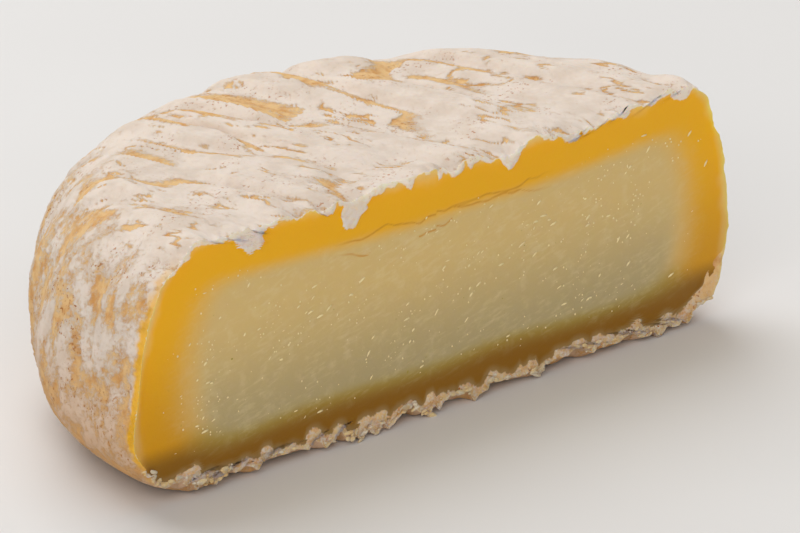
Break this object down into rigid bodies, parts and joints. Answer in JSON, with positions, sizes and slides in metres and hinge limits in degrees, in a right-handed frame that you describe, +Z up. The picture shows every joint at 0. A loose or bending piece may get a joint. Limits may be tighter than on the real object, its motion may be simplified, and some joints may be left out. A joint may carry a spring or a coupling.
{
  "type": "half goat cheese",
  "caption": "Half of a small round ripened goat's cheese with a wrinkled bloomy rind, cut flat through its middle so that the golden ripened paste and the pale core show.",
  "frame": {"origin": "middle of the bounding box, on the surface the cheese rests on", "axes": "+Z up, +X along the cut from its more rounded end to its squarer end, +Y from the cut towards the round back"},
  "size_m": [0.0642, 0.0326, 0.0214],
  "materials": {
    "rind_and_paste": "matte cream bloom over an ochre rind; waxy golden paste and a pale straw core on the cut"
  },
  "bodies": {
    "root": {"half_cheese": "rind_and_paste"}
  },
  "joints": []
}
